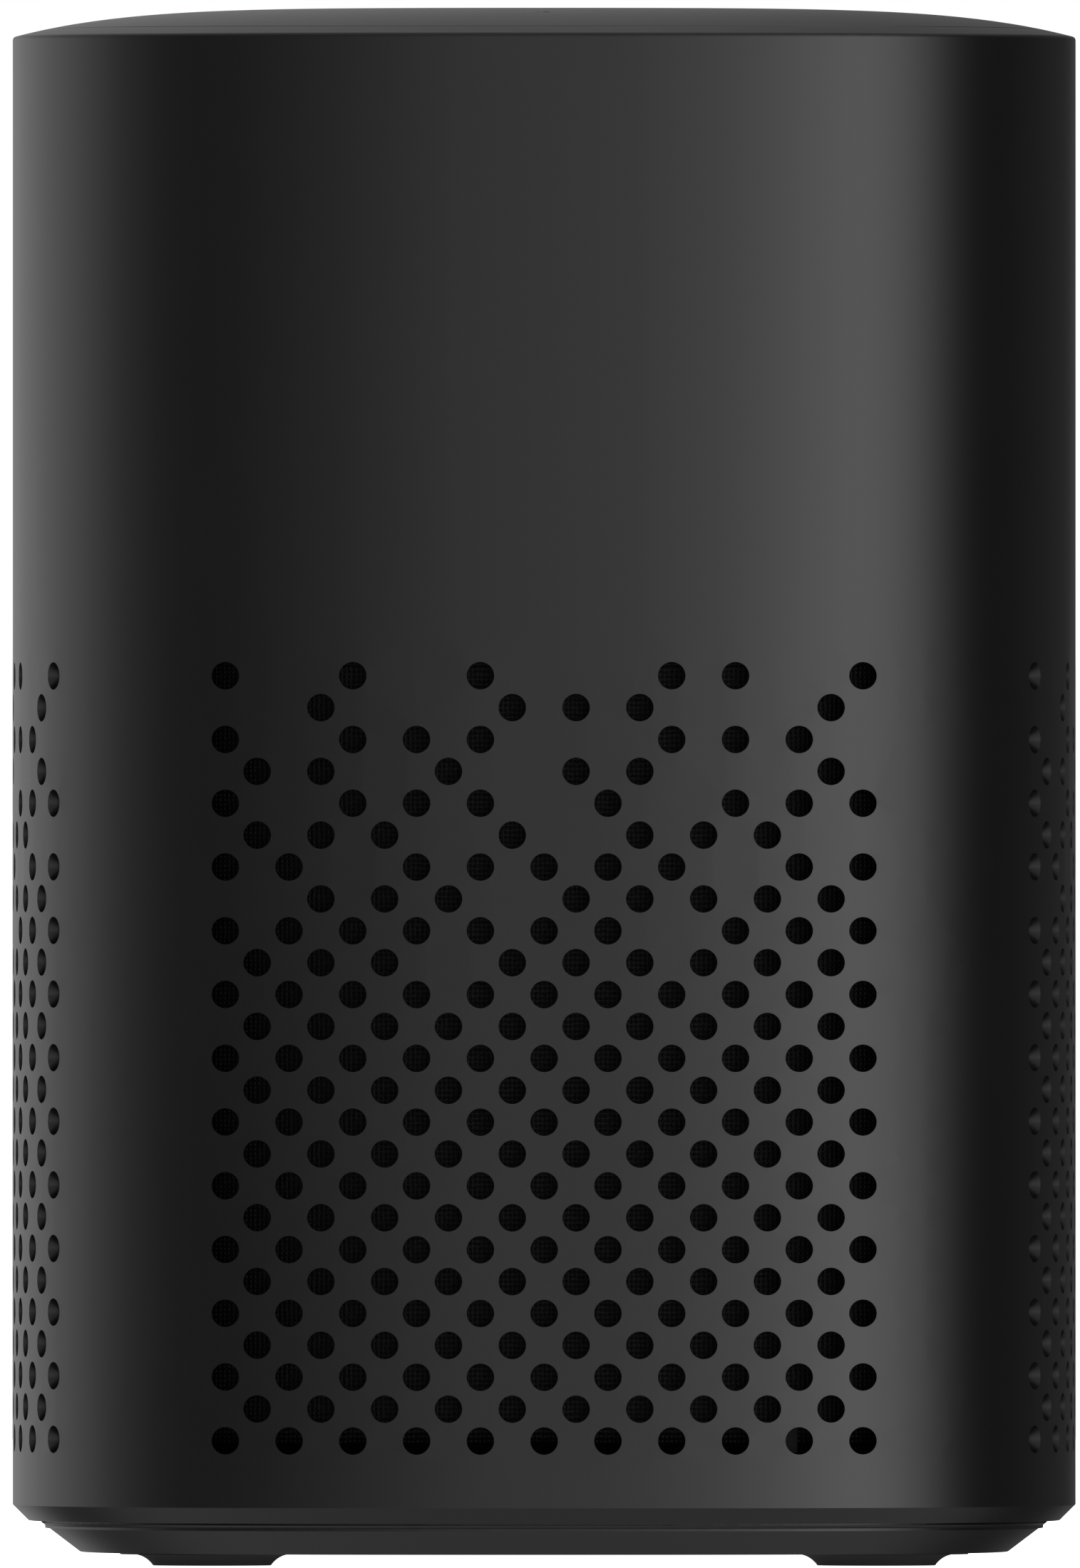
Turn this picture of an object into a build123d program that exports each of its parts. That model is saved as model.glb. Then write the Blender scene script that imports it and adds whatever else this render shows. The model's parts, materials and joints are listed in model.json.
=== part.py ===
from build123d import *
import math
import os

# A smart home hub with a speaker inside: a tall rounded-square body on four rubber feet.
# Millimetres, +Z up, front at -Y, origin under the middle of the body where the feet stand.
# From the bottom up: base cover, sound tray with its cage, deflector cone, speaker facing
# down, sealed chamber, main board, key board, domed top cover with four keys. One
# perforated shell goes round all of it.

# ---------------------------------------------------------------- driving sizes

WIDTH = 95.0  # across the flats of the shell
HEIGHT = 138.9  # from the feet to the middle of the dome
CORNER_POWER = 2.95  # n in the outline |x|^n + |y|^n = half^n
OUTLINE_POINTS = 32  # spline points round an outline

HALF = WIDTH / 2
DIAGONAL_SHARE = math.sqrt(2) * 0.5 ** (1 / CORNER_POWER)  # outline radius at 45 deg / half

# clearances
FIT_GAP = 0.15  # round a part that drops into place
LOOSE_GAP = 0.2  # round a part that moves or is pushed past another
SCREW_GAP = 0.05  # round a screw's shank, in radius

# dome and shell
DOME_RISE = 2.55
DOME_POWER = 5  # the top falls with the fifth power of the distance from the middle
RIM_RADIUS = 0.35
SHELL_WALL = 2.4
SHELL_BOTTOM_Z = 3.9
SHELL_CHAMFER = 1.4
LEDGE_WIDTH = 2.6  # inner ledge near the shell's bottom
LEDGE_THICK = 1.8
COVER_LIP = 0.45  # how far the shell reaches in over its bore at the top
CATCH_WIDTH = 12.0  # ribs that carry the top cover, one in the middle of each face
CATCH_REACH = 1.2
CATCH_THICK = 1.8
CATCH_BELOW_RIM = 3.95

RIM_Z = HEIGHT - DOME_RISE
BORE = HALF - SHELL_WALL

# perforation: a diagonal grid that thins out upwards
HOLE_DIAMETER = 2.45
GRID_STEP = 2.833  # between rows, and between columns
HOLE_COLUMNS = 11  # in an even row, and one fewer in an odd row
FIRST_ROW_Z = 11.28
TOP_ROW_BELOW_RIM = 57.07
HOLE_ROWS = 1 + round((RIM_Z - TOP_ROW_BELOW_RIM - FIRST_ROW_Z) / GRID_STEP)
# the top rows, from the highest down: o is a hole, and every lower row is full
THINNED_ROWS = (
    "o.o.o..oo.o",
    ".o..ooo..o",
    "o.ooo..ooo.",
    "oo.o.oo..o",
    "o.ooo.o.ooo",
    "ooo.o.ooo.",
    "oo.ooooo.oo",
    ".ooo.ooooo",
    "ooooooo.ooo",
    "ooo.oooooo",
)

# power inlet in the middle of the rear face
PORT_DIAMETER = 9.5
PORT_MARGIN = 1.3  # plain wall kept round the port
PORT_Z = FIRST_ROW_Z + 3 * GRID_STEP
JACK_WIDTH = 10.0
JACK_HEIGHT = 11.0
JACK_DEPTH = 13.8
JACK_BEHIND_WALL = 0.8
JACK_BORE = 6.4
JACK_BORE_DEPTH = 10.5
JACK_PIN_DIAMETER = 2.0
JACK_PIN_RECESS = 0.7
JACK_ROOT_DIAMETER = 1.5
JACK_ROOT_SHOWN = 0.4  # the thin root, clear of the inlet's floor

# base and feet
BASE_BOTTOM_Z = 1.1
BASE_BOTTOM_INSET = 6.0  # from the shell's outside to the edge of the flat underside
BASE_PLATE = 2.2
BASE_WALL = 2.6
SEAM_HEIGHT = 0.18  # shadow groove where the base cover meets the shell
SEAM_DEPTH = 0.35
LEDGE_Z = 5.9
FOOT_X = 29.6
FOOT_Y = 22.0
FOOT_FLANGE_DIAMETER = 16.4
FOOT_FLANGE_THICK = 0.8
FOOT_POCKET_DEPTH = 0.7
FOOT_NECK_DIAMETER = 14.6
FOOT_TREAD_DIAMETER = 10.5

# sound tray and cage
TRAY_THICK = 2.0
TRAY_GAP = 0.6  # inside the bore, so that it passes the shell's lip
CAGE_HALF_INSET = 4.5
CAGE_WALL = 1.6
CAGE_RING = 2.2
CAGE_RING_HEIGHT = 2.0
CAGE_ABOVE_HOLES = 4.7
CAGE_WINDOW_HALF = 30.5
CAGE_RAIL_TOP = 5.3  # height of the lower rail over the tray
POST_DIAMETER = 6.4
POST_INSET = 3.0  # post centre inside the cage wall, along the diagonal
CLOTH_THICK = 0.5
CLOTH_GAP = 0.15
CLOTH_BOTTOM_BELOW_HOLE = 0.28
CLOTH_ABOVE_HOLES = 2.7
TAB_X0 = 18.5
TAB_X1 = 22.5
TAB_HEIGHT = 3.1
TAB_PROUD = 0.9

# deflector cone under the speaker
CONE_FLANGE_DIAMETER = 56.0
CONE_FLANGE_THICK = 2.0
CONE_TIP_Z = 41.0
CONE_SCREW_RADIUS = 25.0

# speaker chamber
CHAMBER_BOTTOM_Z = 48.0
CHAMBER_WALL = 2.0
CHAMBER_INSET = 6.9  # from the shell's outside
CHAMBER_FLANGE_THICK = 2.5
BAFFLE_THICK = 2.5
LID_THICK = 3.0
LID_GASKET = 0.8
SCALLOP_GAP = 0.5  # between a cage post and the chamber's corner
CHANNEL_WIDTH = 9.0  # rear channel for the power lead
CHANNEL_DEPTH = 3.4
LID_BOSS_INSET = 5.2
LID_BOSS_Y = 14.0
LID_BOSS_DIAMETER = 7.0
LID_BOSS_LENGTH = 14.0
LEAD_HOLE_X = 28.0
LEAD_HOLE_DIAMETER = 6.0

# speaker, facing down
BAFFLE_OPENING = 49.0
DRIVER_GASKET = 0.8
DRIVER_FLANGE_THICK = 1.6
DRIVER_FLANGE = 54.0
DRIVER_SCREW_PITCH = 45.0
DIAPHRAGM_RADIUS = 19.3
BASKET_MOUTH_RADIUS = 23.1
COIL_RADIUS = 10.0
FORMER_THICK = 0.2
WINDING_THICK = 0.4
POLE_GAP = 0.4
PLATE_GAP = 0.3
SPIDER_RADIUS = 19.6
MAGNET_OUTER = 20.0
MAGNET_INNER = 12.5

# boards
STANDOFF_HEIGHT = 4.0
STANDOFF_XY = 27.0
STANDOFF_DIAMETER = 6.0
MAIN_BOARD_THICK = 1.6
MAIN_BOARD_INSET = 9.5  # from the shell's outside
TOP_BOARD_THICK = 1.2
TOP_BOARD_BELOW_RIM = 7.35
BOARD_SPACING = 14.0  # underside of the main board to underside of the top board
TOP_BOARD_SCREW_RADIUS = 33.0

# top cover and keys
COVER_GAP = 0.15  # seam round the cover
COVER_CEILING_BELOW_RIM = 0.05
SKIRT = 1.7
HOOK_WIDTH = 8.0
HOOK_THICK = 1.3
HOOK_REACH = 0.8
HOOK_NOSE = 1.2
KEY_RADIUS = 21.0  # from the middle of the top to the middle of a key
KEY_DIAMETER = 13.0
KEY_FLANGE_DIAMETER = KEY_DIAMETER + 1.6
KEY_FLANGE_THICK = 0.9
KEY_STEM_DIAMETER = 4.0
KEY_TRAVEL = 0.3
ICON_DEPTH = 0.2
SWITCH_SIDE = 6.0
SWITCH_HEIGHT = 1.7
PLUNGER_DIAMETER = 2.3
PLUNGER_PROUD = 0.7
PLUNGER_LENGTH = 1.6
MIC_Y = 34.8
MIC_X = 0.19
MIC_PORT_DIAMETER = 0.65
STATUS_X = -0.54
STATUS_HOLE_DIAMETER = 0.35
LIGHT_PIPE_DIAMETER = 1.0
LIGHT_PIPE_X = -0.85
IR_DIAMETER = 3.0
IR_SPREAD = 14.0  # half the distance between the two emitters on a face

# derived levels
TRAY_Z = LEDGE_Z + LEDGE_THICK
TRAY_TOP = TRAY_Z + TRAY_THICK
TRAY_HALF = BORE - TRAY_GAP
CAGE_HALF = HALF - CAGE_HALF_INSET
CAGE_INNER = CAGE_HALF - CAGE_WALL
TOP_ROW_Z = FIRST_ROW_Z + (HOLE_ROWS - 1) * GRID_STEP
CAGE_TOP = TOP_ROW_Z + CAGE_ABOVE_HOLES
CHAMBER_HALF = HALF - CHAMBER_INSET
TOP_BOARD_Z = RIM_Z - TOP_BOARD_BELOW_RIM
MAIN_BOARD_Z = TOP_BOARD_Z - BOARD_SPACING
LID_TOP = MAIN_BOARD_Z - STANDOFF_HEIGHT
LID_Z = LID_TOP - LID_THICK
CHAMBER_TOP = LID_Z - LID_GASKET
LEDGE_HALF = BORE - LEDGE_WIDTH
CATCH_TOP = RIM_Z - CATCH_BELOW_RIM
CATCH_HALF = BORE - CATCH_REACH
LIP_HALF = BORE - COVER_LIP
LIP_Z = CATCH_TOP + CATCH_THICK
CEILING_Z = RIM_Z - COVER_CEILING_BELOW_RIM
COVER_HALF = LIP_HALF - COVER_GAP
SKIRT_INNER = COVER_HALF - SKIRT
POST_XY = (CAGE_INNER * DIAGONAL_SHARE - POST_INSET) / math.sqrt(2)
PORT_FRONT_Y = BORE - JACK_BEHIND_WALL
GASKET_Z = CHAMBER_BOTTOM_Z - DRIVER_GASKET
FLANGE_Z = GASKET_Z - DRIVER_FLANGE_THICK
LID_BOSS_X = CHAMBER_HALF - LID_BOSS_INSET
BOARD_TOP = MAIN_BOARD_Z + MAIN_BOARD_THICK
KEY_BOARD_TOP = TOP_BOARD_Z + TOP_BOARD_THICK
KEY_PLACES = {
    "play": (0.0, -KEY_RADIUS),
    "minus": (-KEY_RADIUS, 0.0),
    "plus": (KEY_RADIUS, 0.0),
    "mute": (0.0, KEY_RADIUS),
}


# ---------------------------------------------------------------- shape helpers


def outline(half, z):
    """A closed rounded-square wire at height z."""
    points = []
    for k in range(OUTLINE_POINTS):
        angle = 2 * math.pi * k / OUTLINE_POINTS
        c = math.cos(angle)
        s = math.sin(angle)
        x = half * math.copysign(abs(c) ** (2 / CORNER_POWER), c)
        y = half * math.copysign(abs(s) ** (2 / CORNER_POWER), s)
        points.append(Vector(x, y, z))
    return Wire([Edge.make_spline(points, periodic=True)])


def prism(half, z0, z1):
    return Solid.extrude(Face(outline(half, z0)), Vector(0, 0, z1 - z0))


def sleeve(outer, inner, z0, z1):
    return prism(outer, z0, z1) - prism(inner, z0 - 1, z1 + 1)


def taper(half0, z0, half1, z1):
    return Solid.make_loft([outline(half0, z0), outline(half1, z1)], ruled=True)


def disc(radius, z0, z1, x=0.0, y=0.0):
    return Solid.make_cylinder(radius, z1 - z0, Plane(origin=(x, y, z0)))


def tube(outer, inner, z0, z1, x=0.0, y=0.0):
    return disc(outer, z0, z1, x, y) - disc(inner, z0 - 1, z1 + 1, x, y)


def rod_y(radius, x, y0, y1, z):
    """A cylinder along Y from y0 to y1."""
    return Solid.make_cylinder(radius, y1 - y0, Plane(origin=(x, y0, z), z_dir=(0, 1, 0)))


def block(x0, x1, y0, y1, z0, z1):
    return Solid.make_box(x1 - x0, y1 - y0, z1 - z0, Plane(origin=(x0, y0, z0)))


def spun(*profile):
    """The solid that a closed (radius, z) polygon makes when it turns about Z."""
    points = [Vector(r, 0, z) for r, z in profile]
    face = Face(Wire.make_polygon(points, close=True))
    return Solid.revolve(face, 360, Axis.Z)


def one(shape):
    """The single solid of a boolean's result."""
    solids = shape.solids()
    if len(solids) != 1:
        raise ValueError(f"expected one solid and got {len(solids)}")
    return solids[0]


def quarter_turns(shape):
    return [shape.rotate(Axis.Z, 90 * k) for k in range(4)]


def corners(x, y):
    return [(x, y), (-x, y), (-x, -y), (x, -y)]


def join(first, others):
    return first.fuse(*others)


def cut(first, others):
    return first.cut(*others)


def screw(x, y, seat_z, length, shank, head, head_height, down=True):
    """A pan-head screw whose head sits at seat_z and whose shank points down or up."""
    if down:
        body = disc(shank / 2, seat_z - length, seat_z, x, y)
        cap = disc(head / 2, seat_z, seat_z + head_height, x, y)
        socket_z = seat_z + head_height * 0.45
    else:
        body = disc(shank / 2, seat_z, seat_z + length, x, y)
        cap = disc(head / 2, seat_z - head_height, seat_z, x, y)
        socket_z = seat_z - head_height * 1.45
    arm = head * 0.32
    slot = head * 0.07
    cross = block(x - arm, x + arm, y - slot, y + slot, socket_z, socket_z + head_height)
    cross = cross + block(x - slot, x + slot, y - arm, y + arm, socket_z, socket_z + head_height)
    cap = cap - cross
    return one(cap + body)


def lead(points, radius, bend):
    """A round wire along a polyline with rounded corners."""
    path = FilletPolyline(*points, radius=bend)
    start = Plane(origin=path @ 0, z_dir=path % 0)
    return sweep(start * Circle(radius), path=path).solid()


def dome():
    """The body of the hub above the rim: rounded squares that shrink towards the top."""
    sections = []
    for share in (1.0, 0.97, 0.93, 0.87, 0.79, 0.68, 0.5, 0.3):
        z = RIM_Z + DOME_RISE * (1 - share**DOME_POWER)
        sections.append(outline(HALF * share, z))
    return Solid.make_loft(sections)


def domed_body(half, z0):
    """Everything under the dome's surface, inside an outline and above z0."""
    body = one(prism(HALF, z0, RIM_Z) + dome())
    return body & prism(half, z0 - 1, HEIGHT + 1)


# ---------------------------------------------------------------- shell


def hole_places():
    """(x, z) of the holes in one face, and the port takes the place of those round it."""
    places = []
    for row in range(HOLE_ROWS):
        count = HOLE_COLUMNS - row % 2
        chart = THINNED_ROWS[row] if row < len(THINNED_ROWS) else "o" * count
        z = TOP_ROW_Z - row * GRID_STEP
        for column in range(count):
            if chart[column] == "o":
                x = (column - (count - 1) / 2) * 2 * GRID_STEP
                places.append((x, z))
    return places


def clears_port(x, z):
    keep = PORT_DIAMETER / 2 + PORT_MARGIN + HOLE_DIAMETER / 2
    return math.hypot(x, z - PORT_Z) > keep


def shell():
    bottom = taper(HALF - SHELL_CHAMFER, SHELL_BOTTOM_Z, HALF, SHELL_BOTTOM_Z + SHELL_CHAMFER)
    body = one(prism(HALF, SHELL_BOTTOM_Z + SHELL_CHAMFER, RIM_Z) + dome())
    rim = body.edges().filter_by(lambda e: abs(e.center().Z - RIM_Z) < 0.01)
    rim = [e for e in rim if e.length > WIDTH]
    body = body.fillet(RIM_RADIUS, rim)
    body = one(body + bottom)
    body = body - prism(BORE, SHELL_BOTTOM_Z - 1, LIP_Z)
    body = body - prism(LIP_HALF, LIP_Z - 1, HEIGHT + 1)
    ledge = sleeve(BORE + SHELL_WALL / 2, LEDGE_HALF, LEDGE_Z, TRAY_Z)
    rib = sleeve(BORE + SHELL_WALL / 2, CATCH_HALF, CATCH_TOP - CATCH_THICK, CATCH_TOP)
    rib = rib & block(-CATCH_WIDTH / 2, CATCH_WIDTH / 2, -HALF, 0, 0, HEIGHT)
    body = one(join(body, [ledge] + quarter_turns(rib)))
    tools = []
    for x, z in hole_places():
        drill = rod_y(HOLE_DIAMETER / 2, x, -HALF - 1, -BORE * 0.75, z)
        for turn in range(4):
            if turn != 2 or clears_port(x, z):
                tools.append(drill.rotate(Axis.Z, 90 * turn))
    tools.append(rod_y(PORT_DIAMETER / 2, 0, BORE - 1, HALF + 1, PORT_Z))
    return one(cut(body, tools))


# ---------------------------------------------------------------- top cover and keys


def top_cover():
    cover = domed_body(COVER_HALF, CATCH_TOP)
    cover = cover - prism(SKIRT_INNER, CATCH_TOP - 1, CEILING_Z)
    hook_outer = CATCH_HALF - LOOSE_GAP
    hook_inner = hook_outer - HOOK_THICK
    nose_top = CATCH_TOP - CATCH_THICK - FIT_GAP
    nose_bottom = nose_top - HOOK_NOSE
    hook = sleeve(hook_outer, hook_inner, nose_bottom, CEILING_Z)
    nose = taper(hook_outer, nose_bottom, hook_outer + HOOK_REACH, nose_top)
    hook = hook + (nose - prism(hook_inner, nose_bottom - 1, nose_top + 1))
    hook = hook & block(-HOOK_WIDTH / 2, HOOK_WIDTH / 2, -HALF, 0, 0, HEIGHT)
    boss_xy = TOP_BOARD_SCREW_RADIUS / math.sqrt(2)
    bosses = [disc(3.5, KEY_BOARD_TOP, CEILING_Z + 0.5, x, y) for x, y in corners(boss_xy, boss_xy)]
    cover = one(join(cover, quarter_turns(hook) + bosses))
    pilot = 2.0 / 2 + SCREW_GAP
    tools = [disc(pilot, KEY_BOARD_TOP - 1, CEILING_Z - 0.6, x, y) for x, y in corners(boss_xy, boss_xy)]
    for x, y in KEY_PLACES.values():
        tools.append(disc(KEY_DIAMETER / 2 + LOOSE_GAP, CEILING_Z - 1, HEIGHT + 1, x, y))
    tools.append(disc(MIC_PORT_DIAMETER / 2, CEILING_Z - 1, HEIGHT + 1, MIC_X, -MIC_Y))
    tools.append(disc(MIC_PORT_DIAMETER / 2, CEILING_Z - 1, HEIGHT + 1, -MIC_X, MIC_Y))
    tools.append(disc(STATUS_HOLE_DIAMETER / 2, CEILING_Z - 1, HEIGHT + 1, STATUS_X, -MIC_Y))
    pipe_top = light_pipe_top() + FIT_GAP
    tools.append(disc(LIGHT_PIPE_DIAMETER / 2 + SCREW_GAP, CEILING_Z - 1, pipe_top, LIGHT_PIPE_X, -MIC_Y))
    return one(cut(cover, tools))


def light_pipe_top():
    return CEILING_Z + 1.2


def icon(name):
    """The strokes engraved in a key, drawn round the origin."""
    if name == "play":
        corner_points = [Vector(-1.5, -2.0, 0), Vector(2.3, 0, 0), Vector(-1.5, 2.0, 0)]
        mark = Face(Wire.make_polygon(corner_points, close=True))
        return [Solid.extrude(mark, Vector(0, 0, 10))]
    if name == "mute":
        ring = tube(2.3, 1.75, 0, 10)
        slash = block(-2.0, 2.0, -0.28, 0.28, 0, 10).rotate(Axis.Z, 45)
        return [ring, slash]
    bar = block(-2.1, 2.1, -0.3, 0.3, 0, 10)
    if name == "minus":
        return [bar]
    return [bar, bar.rotate(Axis.Z, 90)]


def key(name):
    x, y = KEY_PLACES[name]
    cap = domed_body(HALF - 1, CEILING_Z - 0.5) & disc(KEY_DIAMETER / 2, 0, HEIGHT + 1, x, y)
    flange = disc(KEY_FLANGE_DIAMETER / 2, CEILING_Z - KEY_FLANGE_THICK, CEILING_Z, x, y)
    stem_bottom = KEY_BOARD_TOP + SWITCH_HEIGHT + PLUNGER_PROUD
    stem = disc(KEY_STEM_DIAMETER / 2, stem_bottom, CEILING_Z - 0.5, x, y)
    solid = one(join(cap, [flange, stem]))
    icon_z = HEIGHT - DOME_RISE * (KEY_RADIUS / HALF) ** DOME_POWER - ICON_DEPTH
    strokes = [stroke.translate(Vector(x, y, icon_z)) for stroke in icon(name)]
    return one(cut(solid, strokes))


def plunger(name):
    x, y = KEY_PLACES[name]
    top = KEY_BOARD_TOP + SWITCH_HEIGHT + PLUNGER_PROUD
    return disc(PLUNGER_DIAMETER / 2, top - PLUNGER_LENGTH, top, x, y)


def tact_switches():
    switches = []
    reach = PLUNGER_LENGTH - PLUNGER_PROUD + KEY_TRAVEL + 0.1
    top = KEY_BOARD_TOP + SWITCH_HEIGHT
    for x, y in KEY_PLACES.values():
        s = SWITCH_SIDE / 2
        body = block(x - s, x + s, y - s, y + s, KEY_BOARD_TOP, top)
        switches.append(one(body - disc(PLUNGER_DIAMETER / 2 + FIT_GAP, top - reach, top + 1, x, y)))
    return switches


# ---------------------------------------------------------------- top board and its parts


def top_board():
    half = HALF - MAIN_BOARD_INSET
    board = prism(half, TOP_BOARD_Z, KEY_BOARD_TOP)
    xy = TOP_BOARD_SCREW_RADIUS / math.sqrt(2)
    tools = [disc(1.2, TOP_BOARD_Z - 1, KEY_BOARD_TOP + 1, x, y) for x, y in corners(xy, xy)]
    tools.append(disc(0.3, TOP_BOARD_Z - 1, KEY_BOARD_TOP + 1, MIC_X, -MIC_Y))
    tools.append(disc(0.3, TOP_BOARD_Z - 1, KEY_BOARD_TOP + 1, -MIC_X, MIC_Y))
    return one(cut(board, tools))


def top_board_screws():
    xy = TOP_BOARD_SCREW_RADIUS / math.sqrt(2)
    return [screw(x, y, TOP_BOARD_Z, 6.0, 2.0, 4.4, 1.4, down=False) for x, y in corners(xy, xy)]


def microphones():
    front = block(MIC_X - 1.7, MIC_X + 1.7, -MIC_Y - 1.3, -MIC_Y + 1.3, TOP_BOARD_Z - 1.0, TOP_BOARD_Z)
    return [front, front.rotate(Axis.Z, 180)]


def mic_boots():
    boot = block(-4.0, 4.0, -MIC_Y - 2.6, -MIC_Y + 2.6, KEY_BOARD_TOP, CEILING_Z)
    front = boot - disc(MIC_PORT_DIAMETER / 2, KEY_BOARD_TOP - 1, CEILING_Z + 1, MIC_X, -MIC_Y)
    front = front - disc(LIGHT_PIPE_DIAMETER / 2 + 0.02, 0, CEILING_Z + 1, LIGHT_PIPE_X, -MIC_Y)
    lamp_room = block(-2.4, -0.35, -MIC_Y - 1.0, -MIC_Y + 1.0, KEY_BOARD_TOP - 1, KEY_BOARD_TOP + 0.8)
    rear = boot.rotate(Axis.Z, 180)
    rear = rear - disc(MIC_PORT_DIAMETER / 2, KEY_BOARD_TOP - 1, CEILING_Z + 1, -MIC_X, MIC_Y)
    return [one(front - lamp_room), one(rear)]


def status_led():
    return block(-2.2, -0.45, -MIC_Y - 0.8, -MIC_Y + 0.8, KEY_BOARD_TOP, KEY_BOARD_TOP + 0.6)


def light_pipe():
    return disc(LIGHT_PIPE_DIAMETER / 2, KEY_BOARD_TOP + 0.7, light_pipe_top(), LIGHT_PIPE_X, -MIC_Y)


def ir_emitters():
    """Two infrared lamps a side, lying under the top board and facing out."""
    r = IR_DIAMETER / 2
    z = TOP_BOARD_Z - r - 0.3
    back_y = HALF - MAIN_BOARD_INSET - 1.5
    lamps = []
    for x in (-IR_SPREAD, IR_SPREAD):
        lamp = rod_y(r, x, -back_y - 3.0, -back_y, z)
        lamp = lamp + Solid.make_sphere(r, Plane(origin=(x, -back_y - 3.0, z)))
        lamp = lamp + rod_y(r + 0.3, x, -back_y - 0.8, -back_y, z)
        lamp = lamp + block(x - 1.0, x + 1.0, -back_y - 0.8, -back_y, z, TOP_BOARD_Z)
        lamps += quarter_turns(one(lamp))
    return lamps


# ---------------------------------------------------------------- main board and its parts


def main_board():
    board = prism(HALF - MAIN_BOARD_INSET, MAIN_BOARD_Z, BOARD_TOP)
    low = MAIN_BOARD_Z - 1
    high = BOARD_TOP + 1
    tools = [disc(1.35, low, high, x, y) for x, y in corners(STANDOFF_XY, STANDOFF_XY)]
    tools.append(disc(LEAD_HOLE_DIAMETER / 2 + 0.5, low, high, LEAD_HOLE_X, 0))
    tools.append(block(-CHANNEL_WIDTH / 2, CHANNEL_WIDTH / 2, channel_y() - 1, HALF, low, high))
    return one(cut(board, tools))


def board_screws():
    return [screw(x, y, BOARD_TOP, 5.2, 2.3, 5.0, 1.6) for x, y in corners(STANDOFF_XY, STANDOFF_XY)]


def processor_shield():
    return block(-17.0, 5.0, -31.0, -9.0, BOARD_TOP, BOARD_TOP + 2.2)


def thermal_pad():
    return block(-14.0, 2.0, -28.0, -12.0, BOARD_TOP + 2.2, BOARD_TOP + 2.7)


def heat_sink():
    base_z = BOARD_TOP + 2.7
    sink = block(-19.0, 7.0, -32.0, -8.0, base_z, base_z + 1.2)
    fins = []
    for k in range(9):
        y = -31.6 + k * 2.85
        fins.append(block(-19.0, 7.0, y, y + 0.9, base_z + 1.0, base_z + 4.6))
    return one(join(sink, fins))


def radio_module():
    carrier = block(12.0, 24.0, -30.0, -9.0, BOARD_TOP, BOARD_TOP + 0.8)
    can = block(13.0, 23.0, -24.0, -10.0, BOARD_TOP + 0.7, BOARD_TOP + 3.0)
    return one(carrier + can)


def side_antennas():
    right = block(36.1, 36.9, -11.0, 11.0, BOARD_TOP, BOARD_TOP + 9.0)
    return [right, right.rotate(Axis.Z, 180)]


def capacitors():
    cans = []
    for x in (-20.0, -12.0):
        for y in (12.0, 20.0):
            base = block(x - 3.3, x + 3.3, y - 3.3, y + 3.3, BOARD_TOP, BOARD_TOP + 0.9)
            cans.append(one(base + disc(3.15, BOARD_TOP + 0.8, BOARD_TOP + 7.7, x, y)))
    return cans


def power_connector():
    body = block(-4.0, 4.0, 26.0, 33.0, BOARD_TOP, BOARD_TOP + 6.0)
    for x in (-1.4, 1.4):
        body = body - rod_y(0.9, x, 31.0, 34.0, BOARD_TOP + 3.6)
    return one(body)


def speaker_connector():
    return block(15.0, 21.5, -4.0, 4.0, BOARD_TOP, BOARD_TOP + 5.0)


def ribbon_connectors():
    low = block(-31.5, -27.0, -6.5, 6.5, BOARD_TOP, BOARD_TOP + 2.2)
    high = block(-31.5, -27.0, -6.5, 6.5, TOP_BOARD_Z - 2.2, TOP_BOARD_Z)
    return [low, high]


def ribbon_cable():
    """A flat cable in a C between the two boards."""
    z0 = BOARD_TOP + 1.1
    z1 = TOP_BOARD_Z - 1.1
    path = FilletPolyline((-27.0, 0, z0), (-20.0, 0, z0), (-20.0, 0, z1), (-27.0, 0, z1), radius=3.0)
    start = Plane(origin=path @ 0, x_dir=(0, 1, 0), z_dir=path % 0)
    return sweep(start * Rectangle(10.0, 0.3), path=path).solid()


# ---------------------------------------------------------------- speaker chamber


def channel_y():
    """The floor of the rear channel for the power lead."""
    return CHAMBER_HALF - CHANNEL_DEPTH


def chamber_block(inset, z0, z1):
    """The chamber's outline as a solid, with every side moved in by inset."""
    body = prism(CHAMBER_HALF - inset, z0, z1)
    scallop = POST_DIAMETER / 2 + SCALLOP_GAP + inset
    tools = [disc(scallop, z0 - 1, z1 + 1, x, y) for x, y in corners(POST_XY, POST_XY)]
    half_channel = CHANNEL_WIDTH / 2 + inset
    tools.append(block(-half_channel, half_channel, channel_y() - inset, HALF, z0 - 1, z1 + 1))
    return one(cut(body, tools))


def lid_boss_places():
    return corners(LID_BOSS_X, LID_BOSS_Y)


def driver_screw_places():
    return corners(DRIVER_SCREW_PITCH / 2, DRIVER_SCREW_PITCH / 2)


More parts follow.
